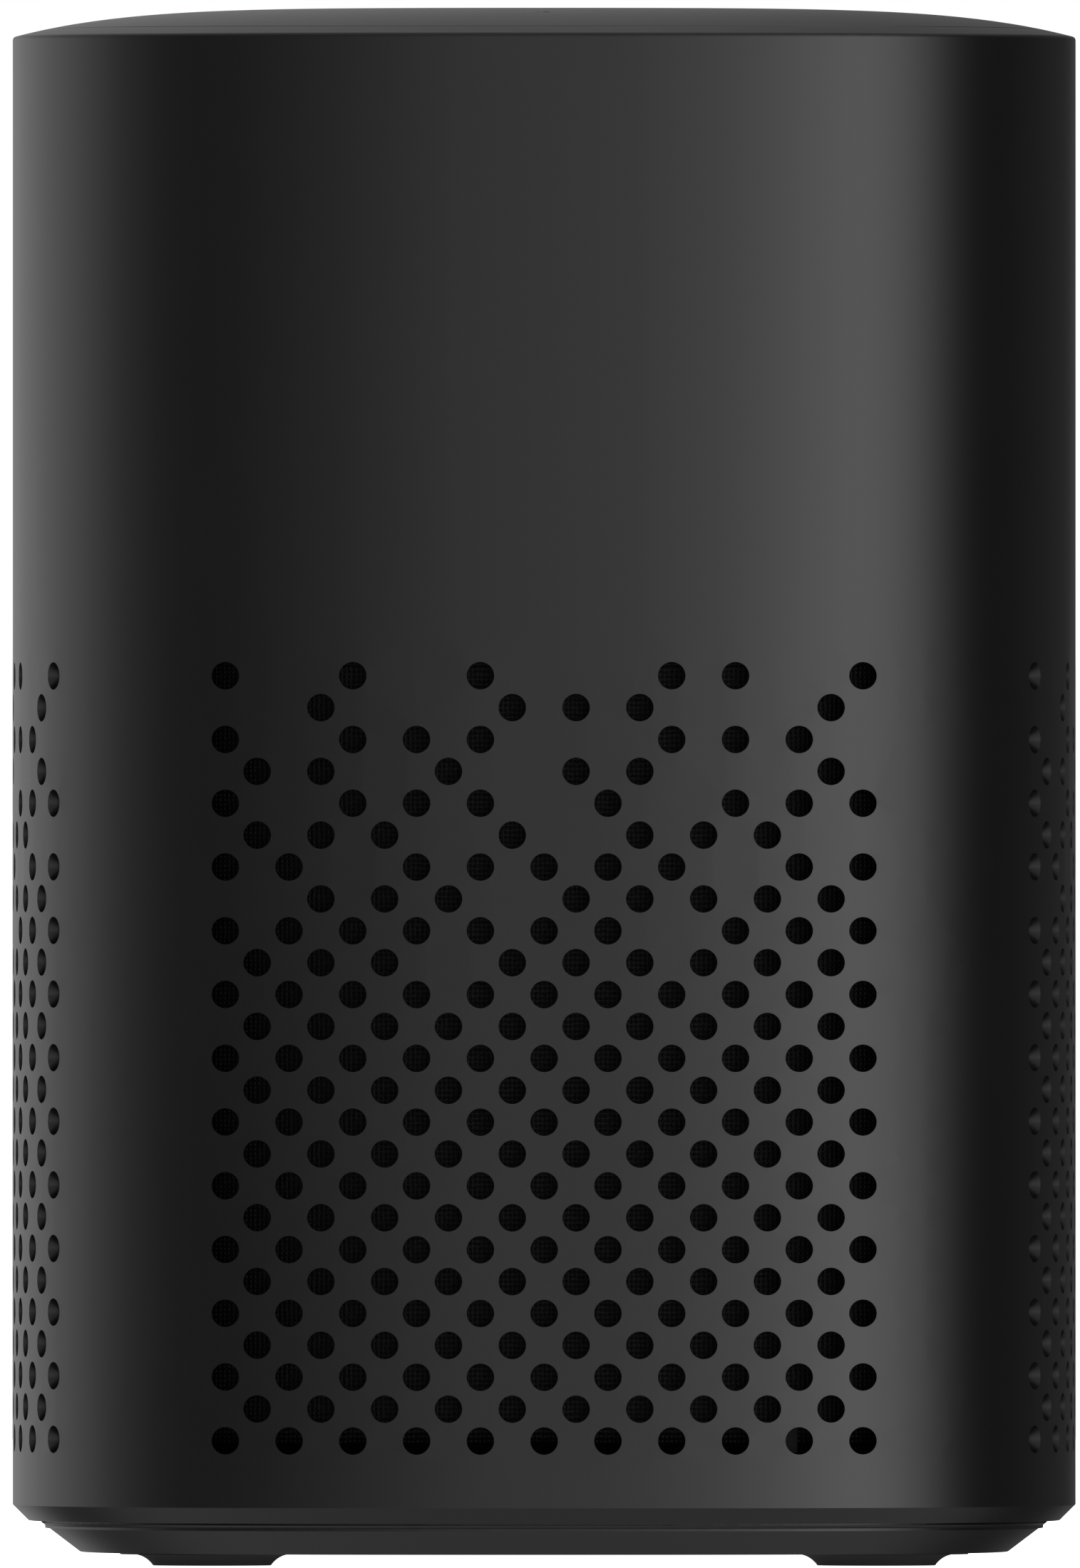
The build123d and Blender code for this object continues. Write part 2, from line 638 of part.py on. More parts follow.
def chamber_body():
    body = chamber_block(0, CHAMBER_BOTTOM_Z, CHAMBER_TOP)
    body = body - chamber_block(CHAMBER_WALL, CHAMBER_BOTTOM_Z + BAFFLE_THICK, CHAMBER_TOP + 1)
    flange_top = CAGE_TOP + CHAMBER_FLANGE_THICK
    flange = sleeve(CAGE_HALF, CHAMBER_HALF - CHAMBER_WALL / 2, CAGE_TOP, flange_top)
    for x, y in corners(POST_XY, POST_XY):
        ear = disc(POST_DIAMETER / 2 + SCALLOP_GAP + CHAMBER_WALL / 2, CAGE_TOP, flange_top, x, y)
        flange = flange + (ear & prism(CAGE_HALF, CAGE_TOP, flange_top))
    flange = flange - block(-CHANNEL_WIDTH / 2, CHANNEL_WIDTH / 2, channel_y(), HALF, 0, HEIGHT)
    bosses = []
    for x, y in lid_boss_places():
        boss = disc(LID_BOSS_DIAMETER / 2, CHAMBER_TOP - LID_BOSS_LENGTH, CHAMBER_TOP, x, y)
        bosses.append(boss & prism(CHAMBER_HALF - CHAMBER_WALL / 2, 0, HEIGHT))
    for x, y in driver_screw_places():
        bosses.append(disc(3.5, CHAMBER_BOTTOM_Z + 1, CHAMBER_BOTTOM_Z + BAFFLE_THICK + 6.5, x, y))
    body = one(join(body, [flange] + bosses))
    tools = [disc(BAFFLE_OPENING / 2, CHAMBER_BOTTOM_Z - 1, CHAMBER_BOTTOM_Z + BAFFLE_THICK + 1)]
    for x, y in lid_boss_places():
        tools.append(disc(1.2 + SCREW_GAP, CHAMBER_TOP - 9, CHAMBER_TOP + 1, x, y))
    for x, y in driver_screw_places():
        tools.append(disc(1.2 + SCREW_GAP, CHAMBER_BOTTOM_Z - 1, CHAMBER_BOTTOM_Z + 8, x, y))
    for x, y in corners(POST_XY, POST_XY):
        tools.append(disc(1.3, CAGE_TOP - 1, flange_top + 1, x, y))
    return one(cut(body, tools))


def lid_gasket():
    ring = chamber_block(0.3, CHAMBER_TOP, LID_Z)
    ring = one(ring - chamber_block(CHAMBER_WALL - 0.3, CHAMBER_TOP - 1, LID_Z + 1))
    pads = []
    for x, y in lid_boss_places():
        pad = disc(LID_BOSS_DIAMETER / 2 - 0.3, CHAMBER_TOP, LID_Z, x, y)
        pads.append(pad & prism(CHAMBER_HALF - CHAMBER_WALL / 2, 0, HEIGHT))
    ring = one(join(ring, pads))
    return one(cut(ring, [disc(1.5, 0, HEIGHT, x, y) for x, y in lid_boss_places()]))


def chamber_lid():
    lid = chamber_block(0, LID_Z, LID_TOP)
    posts = []
    for x, y in corners(STANDOFF_XY, STANDOFF_XY):
        posts.append(disc(STANDOFF_DIAMETER / 2, LID_TOP - 1, MAIN_BOARD_Z, x, y))
    lid = one(join(lid, posts))
    tools = [disc(1.5, LID_Z - 1, LID_TOP + 1, x, y) for x, y in lid_boss_places()]
    for x, y in corners(STANDOFF_XY, STANDOFF_XY):
        tools.append(disc(1.15 + SCREW_GAP, LID_Z + 1.2, MAIN_BOARD_Z + 1, x, y))
    tools.append(disc(LEAD_HOLE_DIAMETER / 2, LID_Z - 1, LID_TOP + 1, LEAD_HOLE_X, 0))
    return one(cut(lid, tools))


def lid_screws():
    return [screw(x, y, LID_TOP, 11.0, 2.4, 5.2, 1.7) for x, y in lid_boss_places()]


def chamber_screws():
    seat = CAGE_TOP + CHAMBER_FLANGE_THICK
    return [screw(x, y, seat, 10.0, 2.0, 4.6, 1.6) for x, y in corners(POST_XY, POST_XY)]


def lead_grommet():
    r = LEAD_HOLE_DIAMETER / 2
    body = disc(r, LID_Z, LID_TOP, LEAD_HOLE_X, 0)
    rims = [disc(r + 1, LID_TOP, LID_TOP + 0.8, LEAD_HOLE_X, 0)]
    rims.append(disc(r + 1, LID_Z - 0.7, LID_Z, LEAD_HOLE_X, 0))
    body = one(join(body, rims))
    tools = [disc(0.8 + SCREW_GAP, LID_Z - 2, LID_TOP + 2, LEAD_HOLE_X, y) for y in (-1.4, 1.4)]
    return one(cut(body, tools))


def speaker_lead_x():
    return MAGNET_OUTER + 2.6


def speaker_lead():
    z = terminal_top()
    start = speaker_lead_x()
    wires = []
    for y in (-1.4, 1.4):
        points = [
            (start, y, z),
            (start, y, z + 4.0),
            (LEAD_HOLE_X, y, z + 13.0),
            (LEAD_HOLE_X, y, BOARD_TOP + 3.0),
            (21.5, y, BOARD_TOP + 3.0),
        ]
        wires.append(lead(points, 0.8, 1.6))
    return wires


# ---------------------------------------------------------------- speaker


def driver_gasket():
    half = DRIVER_FLANGE / 2
    pad = block(-half, half, -half, half, GASKET_Z, CHAMBER_BOTTOM_Z)
    pad = pad.fillet(6.0, pad.edges().filter_by(Axis.Z))
    tools = [disc(1.5, 0, HEIGHT, x, y) for x, y in driver_screw_places()]
    tools.append(disc(BAFFLE_OPENING / 2, 0, HEIGHT))
    return one(cut(pad, tools))


def spider_z():
    return GASKET_Z + 9.3


def plate_z():
    return spider_z() + 4.5


def driver_basket():
    half = DRIVER_FLANGE / 2
    pad = block(-half, half, -half, half, FLANGE_Z, GASKET_Z)
    pad = pad.fillet(6.0, pad.edges().filter_by(Axis.Z))
    pad = one(pad - disc(BASKET_MOUTH_RADIUS, 0, HEIGHT))
    s = spider_z() + 0.5
    p = plate_z()
    mouth = BASKET_MOUTH_RADIUS
    frame = spun(
        (mouth + 1.2, GASKET_Z),
        (SPIDER_RADIUS + 1.3, s),
        (SPIDER_RADIUS + 1.3, p),
        (MAGNET_INNER + 0.5, p),
        (MAGNET_INNER + 0.5, p - 1.2),
        (SPIDER_RADIUS, p - 1.2),
        (SPIDER_RADIUS, s + 1.0),
        (SPIDER_RADIUS - 2.0, s + 1.0),
        (SPIDER_RADIUS - 2.0, s),
        (SPIDER_RADIUS + 0.1, s),
        (mouth, GASKET_Z),
    )
    tools = [disc(1.5, 0, HEIGHT, x, y) for x, y in driver_screw_places()]
    window = block(-8.0, 8.0, -half, -SPIDER_RADIUS + 3, GASKET_Z + 2.0, s - 1.5)
    return one(cut(one(pad + frame), tools + quarter_turns(window)))


def driver_screws():
    return [screw(x, y, FLANGE_Z, 8.0, 2.4, 5.2, 1.6, down=False) for x, y in driver_screw_places()]


def front_plate():
    z = plate_z()
    inner = COIL_RADIUS + FORMER_THICK + WINDING_THICK + PLATE_GAP
    return tube(MAGNET_OUTER - 1, inner, z, z + 3)


def driver_magnet():
    return tube(MAGNET_OUTER, MAGNET_INNER, plate_z() + 3, plate_z() + 11)


def driver_yoke():
    z = plate_z()
    pole = disc(COIL_RADIUS - POLE_GAP, z, z + 11.5)
    back = disc(MAGNET_OUTER - 1, z + 11, z + 14)
    return one(pole + back - disc(3.0, z - 1, z + 20))


def cone_bottom():
    return FLANGE_Z


def cone_top():
    return spider_z() - 3.0


def speaker_cone():
    lip = DIAPHRAGM_RADIUS
    neck = COIL_RADIUS + FORMER_THICK
    return spun((lip, cone_bottom()), (neck, cone_top()), (neck, cone_top() + 0.6), (lip, cone_bottom() + 0.6))


def dust_cap():
    edge = COIL_RADIUS + 0.6
    z = cone_top()
    sagitta = 3.4
    radius = (edge * edge + sagitta * sagitta) / (2 * sagitta)
    centre = Plane(origin=(0, 0, z + radius - sagitta))
    cap = Solid.make_sphere(radius, centre, angle1=-90, angle2=90)
    cap = cap - Solid.make_sphere(radius - 0.5, centre, angle1=-90, angle2=90)
    cap = cap & disc(edge, z - 10, z + 1)
    slope = (DIAPHRAGM_RADIUS - COIL_RADIUS - FORMER_THICK) / (cone_top() - cone_bottom())
    reach = 3.0
    above = spun(
        (0, z + 5),
        (0, z),
        (COIL_RADIUS + FORMER_THICK, z),
        (COIL_RADIUS + FORMER_THICK + reach, z - reach / slope),
        (COIL_RADIUS + FORMER_THICK + reach, z + 5),
    )
    return one(cap - above)


def coil_former():
    return tube(COIL_RADIUS + FORMER_THICK, COIL_RADIUS, cone_top(), plate_z() + 5)


def voice_coil():
    inner = COIL_RADIUS + FORMER_THICK
    return tube(inner + WINDING_THICK, inner, plate_z() - 1.5, plate_z() + 4.5)


def surround():
    """The rubber roll between the cone's edge and the basket."""
    r0 = DIAPHRAGM_RADIUS
    r1 = BASKET_MOUTH_RADIUS + 0.1
    middle = (r0 + r1) / 2
    roll = (r1 - r0) / 2
    z = FLANGE_Z
    ring = Solid.make_torus(middle, roll, Plane(origin=(0, 0, z)))
    ring = ring - Solid.make_torus(middle, roll - 0.5, Plane(origin=(0, 0, z)))
    ring = ring - disc(30, z, z + 5)
    land = tube(r1 + 2.0, r1 - 0.45, z - 0.5, z)
    inner_land = tube(r0 + 0.45, r0 - 1.2, z - 0.5, z)
    return one(join(ring, [land, inner_land]))


def spider():
    """The corrugated cloth disc that centres the coil."""
    z = spider_z()
    inner = COIL_RADIUS + FORMER_THICK
    outer = SPIDER_RADIUS
    land = 2.2  # flat ring that is glued to the basket
    steps = 24
    low = []
    high = []
    for k in range(steps + 1):
        share = k / steps
        r = inner + (outer - land - inner) * share
        wave = 0.45 * math.sin(6 * math.pi * share) * math.sin(math.pi * share)
        low.append((r, z + wave))
        high.append((r, z + wave + 0.5))
    low.append((outer, z))
    high.append((outer, z + 0.5))
    return spun(*(low + high[::-1]))


def terminal_top():
    return plate_z() - 0.6


def driver_terminals():
    outside = SPIDER_RADIUS + 1.3
    tag = block(outside - 2, speaker_lead_x() + 1.3, -4.0, 4.0, terminal_top() - 1.4, terminal_top())
    return one(tag - disc(outside, 0, HEIGHT))


# ---------------------------------------------------------------- tray, cage, cloth


def deflector_cone():
    """A hollow trumpet-shaped cone that turns the speaker's sound outwards."""
    r = CONE_FLANGE_DIAMETER / 2
    z = TRAY_TOP
    deck = z + CONE_FLANGE_THICK
    rise = CONE_TIP_Z - z
    body = spun(
        (0, z),
        (r, z),
        (r, deck),
        (r * 0.79, deck),
        (r * 0.71, z + rise * 0.12),
        (r * 0.58, z + rise * 0.20),
        (r * 0.45, z + rise * 0.31),
        (r * 0.34, z + rise * 0.44),
        (r * 0.25, z + rise * 0.59),
        (r * 0.18, z + rise * 0.75),
        (r * 0.13, z + rise * 0.90),
        (r * 0.08, z + rise),
        (0, z + rise),
    )
    body = body - spun((0, z - 1), (r * 0.6, z - 1), (r * 0.09, z + rise * 0.55), (0, z + rise * 0.55))
    return one(cut(body, [disc(1.2, 0, deck + 1, x, y) for x, y in cone_screw_places()]))


def cone_screw_places():
    xy = CONE_SCREW_RADIUS / math.sqrt(2)
    return corners(xy, xy)


def cone_screws():
    deck = TRAY_TOP + CONE_FLANGE_THICK
    length = CONE_FLANGE_THICK + TRAY_THICK - 0.2
    return [screw(x, y, deck, length, 2.0, 4.4, 1.5) for x, y in cone_screw_places()]


def grille_frame():
    floor = prism(TRAY_HALF, TRAY_Z, TRAY_TOP)
    wall = sleeve(CAGE_HALF, CAGE_INNER, TRAY_TOP - 1, CAGE_TOP)
    ring = sleeve(CAGE_HALF, CAGE_HALF - CAGE_RING, CAGE_TOP - CAGE_RING_HEIGHT, CAGE_TOP)
    window_bottom = TRAY_TOP + CAGE_RAIL_TOP
    window_top = CAGE_TOP - CAGE_RAIL_TOP
    window = block(-CAGE_WINDOW_HALF, CAGE_WINDOW_HALF, -HALF, -HALF / 2, window_bottom, window_top)
    wall = one(cut(wall, quarter_turns(window)))
    posts = []
    for x, y in corners(POST_XY, POST_XY):
        posts.append(disc(POST_DIAMETER / 2, TRAY_TOP - 1, CAGE_TOP, x, y))
    for x, y in corners(FOOT_X, FOOT_Y):
        posts.append(disc(4.0, TRAY_TOP - 1, TRAY_TOP + 7.3, x, y))
    tab = sleeve(CAGE_HALF + TAB_PROUD, CAGE_INNER, TRAY_TOP - 1, TRAY_TOP + TAB_HEIGHT)
    tab = tab & block(TAB_X0, TAB_X1, -HALF, 0, 0, HEIGHT)
    pedestal_top = PORT_Z - JACK_HEIGHT / 2
    pedestal_y = PORT_FRONT_Y - JACK_DEPTH
    pedestal = block(-4.5, 4.5, pedestal_y + 0.5, CAGE_INNER + 0.5, TRAY_TOP - 1, pedestal_top)
    body = one(join(floor, [wall, ring, pedestal] + posts + quarter_turns(tab)))
    tools = []
    notch = block(-CATCH_WIDTH / 2 - 0.5, CATCH_WIDTH / 2 + 0.5, -HALF, -CATCH_HALF + LOOSE_GAP, 0, TRAY_TOP)
    tools += quarter_turns(notch)
    for x, y in corners(POST_XY, POST_XY):
        tools.append(disc(1.0 + SCREW_GAP, CAGE_TOP - 11, CAGE_TOP + 1, x, y))
    for x, y in corners(FOOT_X, FOOT_Y):
        tools.append(disc(1.25 + SCREW_GAP, 0, TRAY_TOP + 6, x, y))
    for x, y in cone_screw_places():
        tools.append(disc(1.0 + SCREW_GAP, 0, TRAY_TOP + 1, x, y))
    tools.append(jack_window(LOOSE_GAP, CAGE_INNER - 2, HALF, pedestal_top))
    return one(cut(body, tools))


def jack_window(gap, y0, y1, z0):
    """The space that the power inlet needs, from z0 up."""
    half = JACK_WIDTH / 2 + gap
    return block(-half, half, y0, y1, z0, PORT_Z + JACK_HEIGHT / 2 + gap)


def grille_cloth():
    inner = CAGE_HALF + CLOTH_GAP
    z0 = FIRST_ROW_Z - CLOTH_BOTTOM_BELOW_HOLE
    cloth = sleeve(inner + CLOTH_THICK, inner, z0, TOP_ROW_Z + CLOTH_ABOVE_HOLES)
    notch = block(TAB_X0 - 1.4, TAB_X1 + 1.4, -HALF, 0, 0, TRAY_TOP + TAB_HEIGHT + 0.3)
    inlet = jack_window(0.8, CAGE_INNER, HALF, 0)
    return one(cut(cloth, quarter_turns(notch) + [inlet]))


# ---------------------------------------------------------------- base


def base_cover():
    outer = BORE - FIT_GAP
    seam_z = SHELL_BOTTOM_Z - SEAM_HEIGHT
    lower = taper(HALF - BASE_BOTTOM_INSET, BASE_BOTTOM_Z, outer, seam_z)
    neck = prism(outer - SEAM_DEPTH, seam_z - 0.5, SHELL_BOTTOM_Z + 0.5)
    body = one(join(lower, [neck, prism(outer, SHELL_BOTTOM_Z, LEDGE_Z)]))
    body = body - prism(outer - BASE_WALL, BASE_BOTTOM_Z + BASE_PLATE, LEDGE_Z + 1)
    bosses = [disc(5.0, BASE_BOTTOM_Z + 1, TRAY_Z, x, y) for x, y in corners(FOOT_X, FOOT_Y)]
    ribs = []
    for angle in (0, 90):
        rib = block(-30.0, 30.0, -0.8, 0.8, BASE_BOTTOM_Z + 1, LEDGE_Z - 0.6)
        ribs.append(rib.rotate(Axis.Z, angle))
    body = one(join(body, bosses + ribs))
    tools = []
    pocket = FOOT_FLANGE_DIAMETER / 2 + LOOSE_GAP
    for x, y in corners(FOOT_X, FOOT_Y):
        tools.append(disc(pocket, 0, BASE_BOTTOM_Z + FOOT_POCKET_DEPTH, x, y))
        tools.append(disc(3.1, 0, screw_seat_z(), x, y))
        tools.append(disc(1.7, 0, TRAY_Z + 1, x, y))
    return one(cut(body, tools))


def screw_seat_z():
    return BASE_BOTTOM_Z + FOOT_POCKET_DEPTH + 2.4


def base_screws():
    length = TRAY_TOP + 5.0 - screw_seat_z()
    return [screw(x, y, screw_seat_z(), length, 2.5, 5.6, 1.9, down=False) for x, y in corners(FOOT_X, FOOT_Y)]


def rubber_feet():
    """Four pads, each with a thin flange in the base and a flared tread."""
    top = BASE_BOTTOM_Z + FOOT_POCKET_DEPTH
    step = top - FOOT_FLANGE_THICK
    tread = FOOT_TREAD_DIAMETER / 2
    neck = FOOT_NECK_DIAMETER / 2
    flange = FOOT_FLANGE_DIAMETER / 2
    flare = Edge.make_three_point_arc(
        Vector(tread, 0, 0),
        Vector(tread + (neck - tread) * 0.35, 0, step * 0.68),
        Vector(neck, 0, step),
    )
    sides = [
        Edge.make_line(Vector(neck, 0, step), Vector(flange, 0, step)),
        Edge.make_line(Vector(flange, 0, step), Vector(flange, 0, top)),
        Edge.make_line(Vector(flange, 0, top), Vector(0, 0, top)),
        Edge.make_line(Vector(0, 0, top), Vector(0, 0, 0)),
        Edge.make_line(Vector(0, 0, 0), Vector(tread, 0, 0)),
    ]
    pad = Solid.revolve(Face(Wire([flare] + sides)), 360, Axis.Z)
    return [pad.translate(Vector(x, y, 0)) for x, y in corners(FOOT_X, FOOT_Y)]


# ---------------------------------------------------------------- power inlet


def dc_jack():
    y1 = PORT_FRONT_Y
    y0 = y1 - JACK_DEPTH
    body = block(-JACK_WIDTH / 2, JACK_WIDTH / 2, y0, y1, PORT_Z - JACK_HEIGHT / 2, PORT_Z + JACK_HEIGHT / 2)
    body = body - rod_y(JACK_BORE / 2, 0, y1 - JACK_BORE_DEPTH, y1 + 1, PORT_Z)
    return one(body - rod_y(JACK_ROOT_DIAMETER / 2, 0, y0 + 1.5, y1, PORT_Z))


def jack_pin():
    """The centre pin, on a thinner root that is held in the inlet's floor."""
    y0 = PORT_FRONT_Y - JACK_DEPTH + 1.5
    y1 = PORT_FRONT_Y - JACK_PIN_RECESS
    step = PORT_FRONT_Y - JACK_BORE_DEPTH + JACK_ROOT_SHOWN
    root = rod_y(JACK_ROOT_DIAMETER / 2, 0, y0, step + 0.1, PORT_Z)
    return one(rod_y(JACK_PIN_DIAMETER / 2, 0, step, y1, PORT_Z) + root)


def power_lead():
    """Two wires from the inlet, up the chamber's rear channel, to the main board."""
    y0 = PORT_FRONT_Y - JACK_DEPTH
    channel = channel_y() + CHANNEL_DEPTH / 2
    wires = []
    for x in (-1.4, 1.4):
        points = [
            (x, y0, PORT_Z),
            (x, y0 - 3.0, PORT_Z),
            (x, y0 - 3.0, PORT_Z + 9.0),
            (x, channel, GASKET_Z - 4.0),
            (x, channel, BOARD_TOP + 3.6),
            (x, 31.0, BOARD_TOP + 3.6),
        ]
        wires.append(lead(points, 0.8, 1.6))
    return wires


# ---------------------------------------------------------------- write one file per piece


def pieces():
    """Node name to the function that makes it."""
    makers = {
        "shell": shell,
        "top_cover": top_cover,
        "tact_switches": tact_switches,
        "top_board": top_board,
        "top_board_screws": top_board_screws,
        "microphones": microphones,
        "mic_boots": mic_boots,
        "status_led": status_led,
        "light_pipe": light_pipe,
        "ir_emitters": ir_emitters,
        "main_board": main_board,
        "board_screws": board_screws,
        "processor_shield": processor_shield,
        "thermal_pad": thermal_pad,
        "heat_sink": heat_sink,
        "radio_module": radio_module,
        "side_antennas": side_antennas,
        "capacitors": capacitors,
        "power_connector": power_connector,
        "speaker_connector": speaker_connector,
        "ribbon_connectors": ribbon_connectors,
        "ribbon_cable": ribbon_cable,
        "chamber_body": chamber_body,
        "lid_gasket": lid_gasket,
        "chamber_lid": chamber_lid,
        "lid_screws": lid_screws,
        "chamber_screws": chamber_screws,
        "lead_grommet": lead_grommet,
        "speaker_lead": speaker_lead,
        "driver_gasket": driver_gasket,
        "driver_basket": driver_basket,
        "driver_screws": driver_screws,
        "front_plate": front_plate,
        "driver_magnet": driver_magnet,
        "driver_yoke": driver_yoke,
        "speaker_cone": speaker_cone,
        "dust_cap": dust_cap,
        "coil_former": coil_former,
        "voice_coil": voice_coil,
        "surround": surround,
        "spider": spider,
        "driver_terminals": driver_terminals,
        "deflector_cone": deflector_cone,
        "cone_screws": cone_screws,
        "grille_frame": grille_frame,
        "grille_cloth": grille_cloth,
        "base_cover": base_cover,
        "base_screws": base_screws,
        "rubber_feet": rubber_feet,
        "dc_jack": dc_jack,
        "jack_pin": jack_pin,
        "power_lead": power_lead,
    }
    for name in KEY_PLACES:
        makers[f"key_{name}"] = lambda name=name: key(name)
        makers[f"plunger_{name}"] = lambda name=name: plunger(name)
    return makers


def main():
    os.makedirs("parts", exist_ok=True)
    for name, make in pieces().items():
        made = make()
        shape = Compound(children=made) if isinstance(made, list) else made
        export_step(shape, f"parts/{name}.step", write_pcurves=name != "shell")


main()
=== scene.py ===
"""Looks of a smart home hub: black perforated body, acoustic cloth, rubber feet, electronics."""

import json
import math

import bmesh
import bpy
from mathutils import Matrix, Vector


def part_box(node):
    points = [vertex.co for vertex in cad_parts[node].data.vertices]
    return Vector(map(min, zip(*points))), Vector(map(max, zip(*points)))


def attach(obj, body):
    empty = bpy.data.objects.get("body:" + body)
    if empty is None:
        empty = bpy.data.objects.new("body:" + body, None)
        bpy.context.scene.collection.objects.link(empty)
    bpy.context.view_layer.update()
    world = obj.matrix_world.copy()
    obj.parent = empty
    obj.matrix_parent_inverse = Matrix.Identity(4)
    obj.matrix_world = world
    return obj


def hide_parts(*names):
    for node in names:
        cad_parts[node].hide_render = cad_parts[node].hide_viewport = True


MM = 0.001

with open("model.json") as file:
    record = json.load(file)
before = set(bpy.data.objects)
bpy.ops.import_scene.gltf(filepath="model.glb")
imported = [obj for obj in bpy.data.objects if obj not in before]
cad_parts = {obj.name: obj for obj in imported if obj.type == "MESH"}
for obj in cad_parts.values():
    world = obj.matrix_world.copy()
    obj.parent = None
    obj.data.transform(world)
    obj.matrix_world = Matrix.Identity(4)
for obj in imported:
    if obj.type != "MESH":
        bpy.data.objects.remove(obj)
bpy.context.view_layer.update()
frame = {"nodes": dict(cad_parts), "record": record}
nodes_of_part = frame["nodes"]

# ------------------------------------------------------------------ sizes taken from the frame

CORNER_POWER = 2.95  # n in the outline |x|^n + |y|^n = half^n
CLOTH_LOW, CLOTH_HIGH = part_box("grille_cloth")
CLOTH_THICK = 0.3 * MM
CLOTH_INSET = 0.15 * MM  # from the outside of the cloth to the middle of its thickness
ROUND_SHARE = 6.9  # length of pattern round the cloth, over half its width
TAB_FACE = CLOTH_HIGH.x + 0.1 * MM  # the cage's tabs lie outside this outline
TAB_FOOT = CLOTH_LOW.z - 0.8 * MM  # and above this height


# ------------------------------------------------------------------ small node helpers


def add(tree, kind, **settings):
    made = tree.nodes.new(kind)
    for key, value in settings.items():
        setattr(made, key, value)
    return made


def put(node, **values):
    """Sets sockets by name, with _ for a blank."""
    for key, value in values.items():
        node.inputs[key.replace("_", " ")].default_value = value
    return node


def maths(tree, operation, a, b=None):
    """A Math node whose inputs are sockets or numbers. Returns its output."""
    made = add(tree, "ShaderNodeMath", operation=operation)
    for socket, value in zip(made.inputs, (a, b)):
        if isinstance(value, bpy.types.NodeSocket):
            tree.links.new(value, socket)
        elif value is not None:
            socket.default_value = value
    return made.outputs[0]


def object_place(tree, scale=(1, 1, 1), turn=(0, 0, 0)):
    """Object coordinates through a Mapping node. Returns its output."""
    where = add(tree, "ShaderNodeTexCoord")
    mapping = add(tree, "ShaderNodeMapping")
    mapping.inputs["Scale"].default_value = scale
    mapping.inputs["Rotation"].default_value = turn
    tree.links.new(where.outputs["Object"], mapping.inputs["Vector"])
    return mapping.outputs[0]


def noise(tree, vector, scale, detail=3.0, rough=0.5):
    made = add(tree, "ShaderNodeTexNoise")
    tree.links.new(vector, made.inputs["Vector"])
    if isinstance(scale, bpy.types.NodeSocket):
        tree.links.new(scale, made.inputs["Scale"])
    else:
        made.inputs["Scale"].default_value = scale
    made.inputs["Detail"].default_value = detail
    made.inputs["Roughness"].default_value = rough
    return made.outputs[0]


def waves(tree, vector, scale, direction="X", distortion=0.0):
    made = add(tree, "ShaderNodeTexWave", bands_direction=direction)
    tree.links.new(vector, made.inputs["Vector"])
    if isinstance(scale, bpy.types.NodeSocket):
        tree.links.new(scale, made.inputs["Scale"])
    else:
        made.inputs["Scale"].default_value = scale
    made.inputs["Distortion"].default_value = distortion
    return made.outputs["Fac"]


def blended(tree, share, first, second):
    """A colour mix. first and second are sockets or colours."""
    made = add(tree, "ShaderNodeMix", data_type="RGBA")
    sockets = (made.inputs[0], made.inputs[6], made.inputs[7])
    for socket, value in zip(sockets, (share, first, second)):
        if isinstance(value, bpy.types.NodeSocket):
            tree.links.new(value, socket)
        elif isinstance(value, (int, float)):
            socket.default_value = value
        else:
            socket.default_value = (*value[:3], 1)
    return made.outputs[2]


def group(name, inputs, outputs):
    """An empty shader node group. inputs maps a name to its kind and default."""
    tree = bpy.data.node_groups.new(name, "ShaderNodeTree")
    for label, (kind, value) in inputs.items():
        socket = tree.interface.new_socket(label, in_out="INPUT", socket_type=kind)
        socket.default_value = value
    for label, kind in outputs.items():
        tree.interface.new_socket(label, in_out="OUTPUT", socket_type=kind)
    return tree, add(tree, "NodeGroupInput"), add(tree, "NodeGroupOutput")


FLOAT = "NodeSocketFloat"
COLOR = "NodeSocketColor"
VECTOR = "NodeSocketVector"
PER_METRE = 1000.0
WAVE_LENGTH = 2 * math.pi / 20  # of a wave texture, in its scaled coordinate


def grain_group():
    """Fine moulded grain: a small noise for height, a broad one for tone and polish."""
    tree, given, out = group(
        "moulded_grain",
        {
            "Color": (COLOR, (0.01, 0.01, 0.01, 1)),
            "Grains per mm": (FLOAT, 5.0),
            "Tone": (FLOAT, 0.15),
            "Roughness": (FLOAT, 0.4),
            "Patchiness": (FLOAT, 0.05),
        },
        {"Color": COLOR, "Roughness": FLOAT, "Height": FLOAT},
    )
    place = object_place(tree)
    per_metre = maths(tree, "MULTIPLY", given.outputs["Grains per mm"], PER_METRE)
    fine = noise(tree, place, per_metre, detail=2.0, rough=0.6)
    broad = noise(tree, place, 60.0, detail=4.0, rough=0.6)
    tone = maths(tree, "MULTIPLY", maths(tree, "SUBTRACT", fine, 0.5), given.outputs["Tone"])
    patch = maths(tree, "MULTIPLY", maths(tree, "SUBTRACT", broad, 0.5), given.outputs["Tone"])
    lift = maths(tree, "ADD", maths(tree, "ADD", tone, patch), 1.0)
    scaled = add(tree, "ShaderNodeVectorMath", operation="SCALE")
    tree.links.new(given.outputs["Color"], scaled.inputs[0])
    tree.links.new(lift, scaled.inputs["Scale"])
    spread = maths(tree, "MULTIPLY", maths(tree, "SUBTRACT", broad, 0.5), given.outputs["Patchiness"])
    tree.links.new(scaled.outputs[0], out.inputs["Color"])
    tree.links.new(maths(tree, "ADD", given.outputs["Roughness"], spread), out.inputs["Roughness"])
    tree.links.new(fine, out.inputs["Height"])
    return tree


